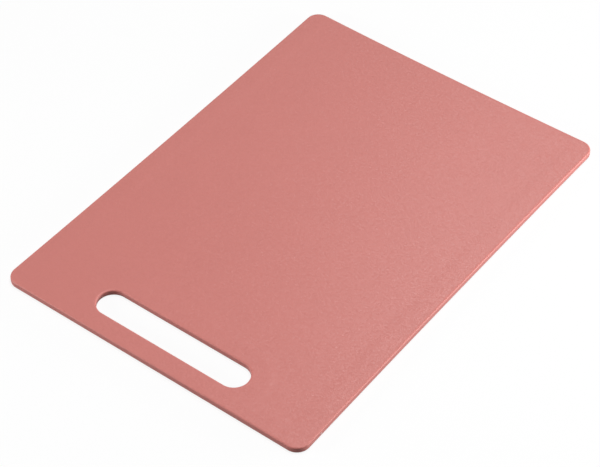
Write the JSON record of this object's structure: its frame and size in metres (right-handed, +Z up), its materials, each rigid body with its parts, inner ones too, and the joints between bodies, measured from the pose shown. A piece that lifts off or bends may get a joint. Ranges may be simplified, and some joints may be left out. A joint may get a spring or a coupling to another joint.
{
  "type": "cutting board",
  "caption": "Flat rectangular plastic board with rounded corners, softly rounded edges and a round-ended hand slot near a short side, for cutting food on, carrying and hanging up.",
  "frame": {"origin": "centre of the underside", "axes": "+X across the width, +Y along the length and away from the hand slot, +Z up out of the working face"},
  "size_m": [0.25, 0.35, 0.005],
  "materials": {
    "pink_plastic": "dusty pink, fine matte moulded grain"
  },
  "bodies": {
    "root": {"board": "pink_plastic"}
  },
  "joints": []
}
